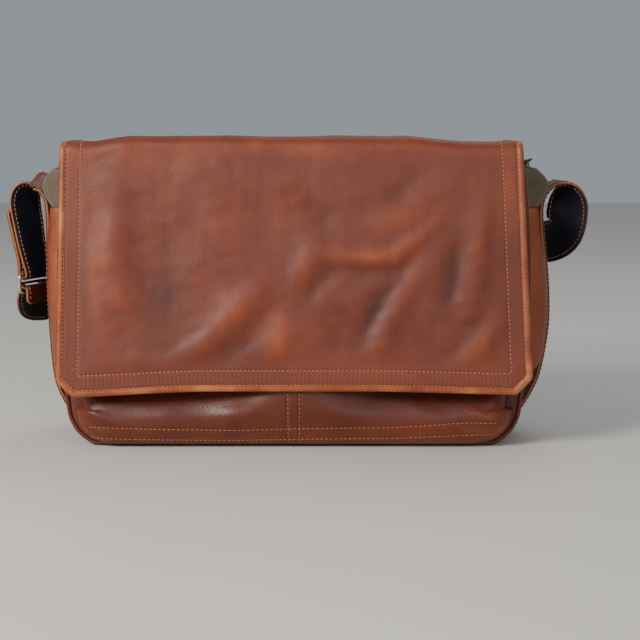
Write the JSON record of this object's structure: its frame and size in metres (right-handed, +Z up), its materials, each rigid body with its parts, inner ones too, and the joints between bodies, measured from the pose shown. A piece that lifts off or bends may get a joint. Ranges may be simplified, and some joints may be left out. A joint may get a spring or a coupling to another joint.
{
  "type": "camera bag",
  "caption": "Leather messenger camera bag with a hinged flap, zip mouth, padded insert with movable dividers, patch pockets and a shoulder strap.",
  "frame": {"origin": "middle of the flat base, on the surface that the bag stands on", "axes": "+Z up; -Y is the front, where the flap hangs; +X is to the right of someone facing the front"},
  "size_m": [0.5159, 0.2433, 0.266],
  "materials": {
    "body_leather": "semi-matt oiled leather",
    "flap_leather": "semi-matt oiled leather, lighter where it creases",
    "edge_binding": "turned and glued edge, slightly polished",
    "pocket_tan": "smooth tan leather",
    "strap_leather": "oiled leather",
    "strap_lining": "plain weave, matt, almost black blue",
    "flap_lining": "twill, matt",
    "canvas": "waxed canvas, matt",
    "piping": "leather covered cord",
    "zip_tape": "woven tape",
    "zip_metal": "antique brass",
    "tab_leather": "dark leather",
    "insert_fabric": "brushed nylon over foam",
    "board": "stiffening board",
    "slide_metal": "nickel plated wire",
    "magnet_metal": "polished plate"
  },
  "bodies": {
    "bag": {"front_panel": "body_leather", "back_panel": "body_leather", "base_panel": "body_leather", "base_board": "board", "gusset_left": "canvas", "gusset_right": "canvas", "front_pocket": "body_leather", "front_pocket_hem": "body_leather", "back_pocket": "body_leather", "back_pocket_hem": "body_leather", "side_pocket_left": "pocket_tan", "side_pocket_right": "pocket_tan", "side_pocket_hem_left": "pocket_tan", "side_pocket_hem_right": "pocket_tan", "flap_anchor_strip": "flap_leather", "insert_floor": "insert_fabric", "insert_front_wall": "insert_fabric", "insert_back_wall": "insert_fabric", "insert_left_wall": "insert_fabric", "insert_right_wall": "insert_fabric", "mouth_piping_front": "piping", "mouth_piping_back": "piping", "zip_end_panels": "canvas", "zip_end_tapes": "zip_tape", "zip_end_teeth": "zip_metal", "zip_tail_tab": "tab_leather", "magnet_socket_left": "magnet_metal", "magnet_socket_right": "magnet_metal", "side_band_left": "strap_leather", "side_band_left_lining": "strap_lining", "side_band_right": "strap_leather", "side_band_right_lining": "strap_lining"},
    "flap_top": {"flap_top": "flap_leather", "flap_top_lining": "flap_lining", "flap_top_binding": "edge_binding"},
    "flap_front": {"flap_front": "flap_leather", "flap_front_lining": "flap_lining", "flap_front_binding": "edge_binding", "magnet_stud_left": "magnet_metal", "magnet_stud_right": "magnet_metal"},
    "zip_lid_front": {"zip_lid_front": "canvas", "zip_tape_front": "zip_tape", "zip_teeth_front": "zip_metal"},
    "zip_lid_back": {"zip_lid_back": "canvas", "zip_tape_back": "zip_tape", "zip_teeth_back": "zip_metal"},
    "zip_slider": {"zip_slider": "zip_metal"},
    "zip_pull": {"zip_pull": "zip_metal", "zip_pull_tab": "tab_leather"},
    "divider_left": {"divider_left": "insert_fabric"},
    "divider_right": {"divider_right": "insert_fabric"},
    "strap_slide": {"strap_slide": "slide_metal", "strap_end": "strap_leather", "strap_end_lining": "strap_lining"},
    "shoulder_strap": {"shoulder_strap": "strap_leather", "shoulder_strap_lining": "strap_lining"}
  },
  "joints": [
    {"name": "flap_hinge", "type": "hinge", "parent": "bag", "child": "flap_top", "pos_m": [0, 0.05053, 0.2634], "axis": [-1, 0, 0], "range_deg": [0, 180]},
    {"name": "flap_fold", "type": "hinge", "parent": "flap_top", "child": "flap_front", "pos_m": [0, -0.06, 0.2634], "axis": [-1, 0, 0], "range_deg": [0, 90]},
    {"name": "zip_lid_front_drop", "type": "hinge", "parent": "bag", "child": "zip_lid_front", "pos_m": [0, -0.04659, 0.231], "axis": [-1, 0, 0], "range_deg": [0, 75]},
    {"name": "zip_lid_back_drop", "type": "hinge", "parent": "bag", "child": "zip_lid_back", "pos_m": [0, 0.04659, 0.231], "axis": [1, 0, 0], "range_deg": [0, 75]},
    {"name": "zip_travel", "type": "slide", "parent": "bag", "child": "zip_slider", "axis": [-1, 0, 0], "range_m": [0, 0.344]},
    {"name": "zip_pull_swing", "type": "hinge", "parent": "zip_slider", "child": "zip_pull", "pos_m": [0.176, 0, 0.2355], "axis": [0, 1, 0], "range_deg": [0, 110]},
    {"name": "divider_left_shift", "type": "slide", "parent": "bag", "child": "divider_left", "axis": [1, 0, 0], "range_m": [-0.025, 0.025]},
    {"name": "divider_right_shift", "type": "slide", "parent": "bag", "child": "divider_right", "axis": [1, 0, 0], "range_m": [-0.025, 0.025]},
    {"name": "slide_swing", "type": "hinge", "parent": "bag", "child": "strap_slide", "pos_m": [-0.2323, -0.001, 0.1455], "axis": [0.3998, 0.9166, 0], "range_deg": [-2, 12]},
    {"name": "strap_lift", "type": "hinge", "parent": "bag", "child": "shoulder_strap", "pos_m": [0.2172, 0, 0.206], "axis": [0.9858, 0.0022, 0.1678], "range_deg": [0, 50]}
  ],
  "couplings": [
    {"joint": "zip_lid_back_drop", "follows": "zip_lid_front_drop", "ratio": 1}
  ]
}
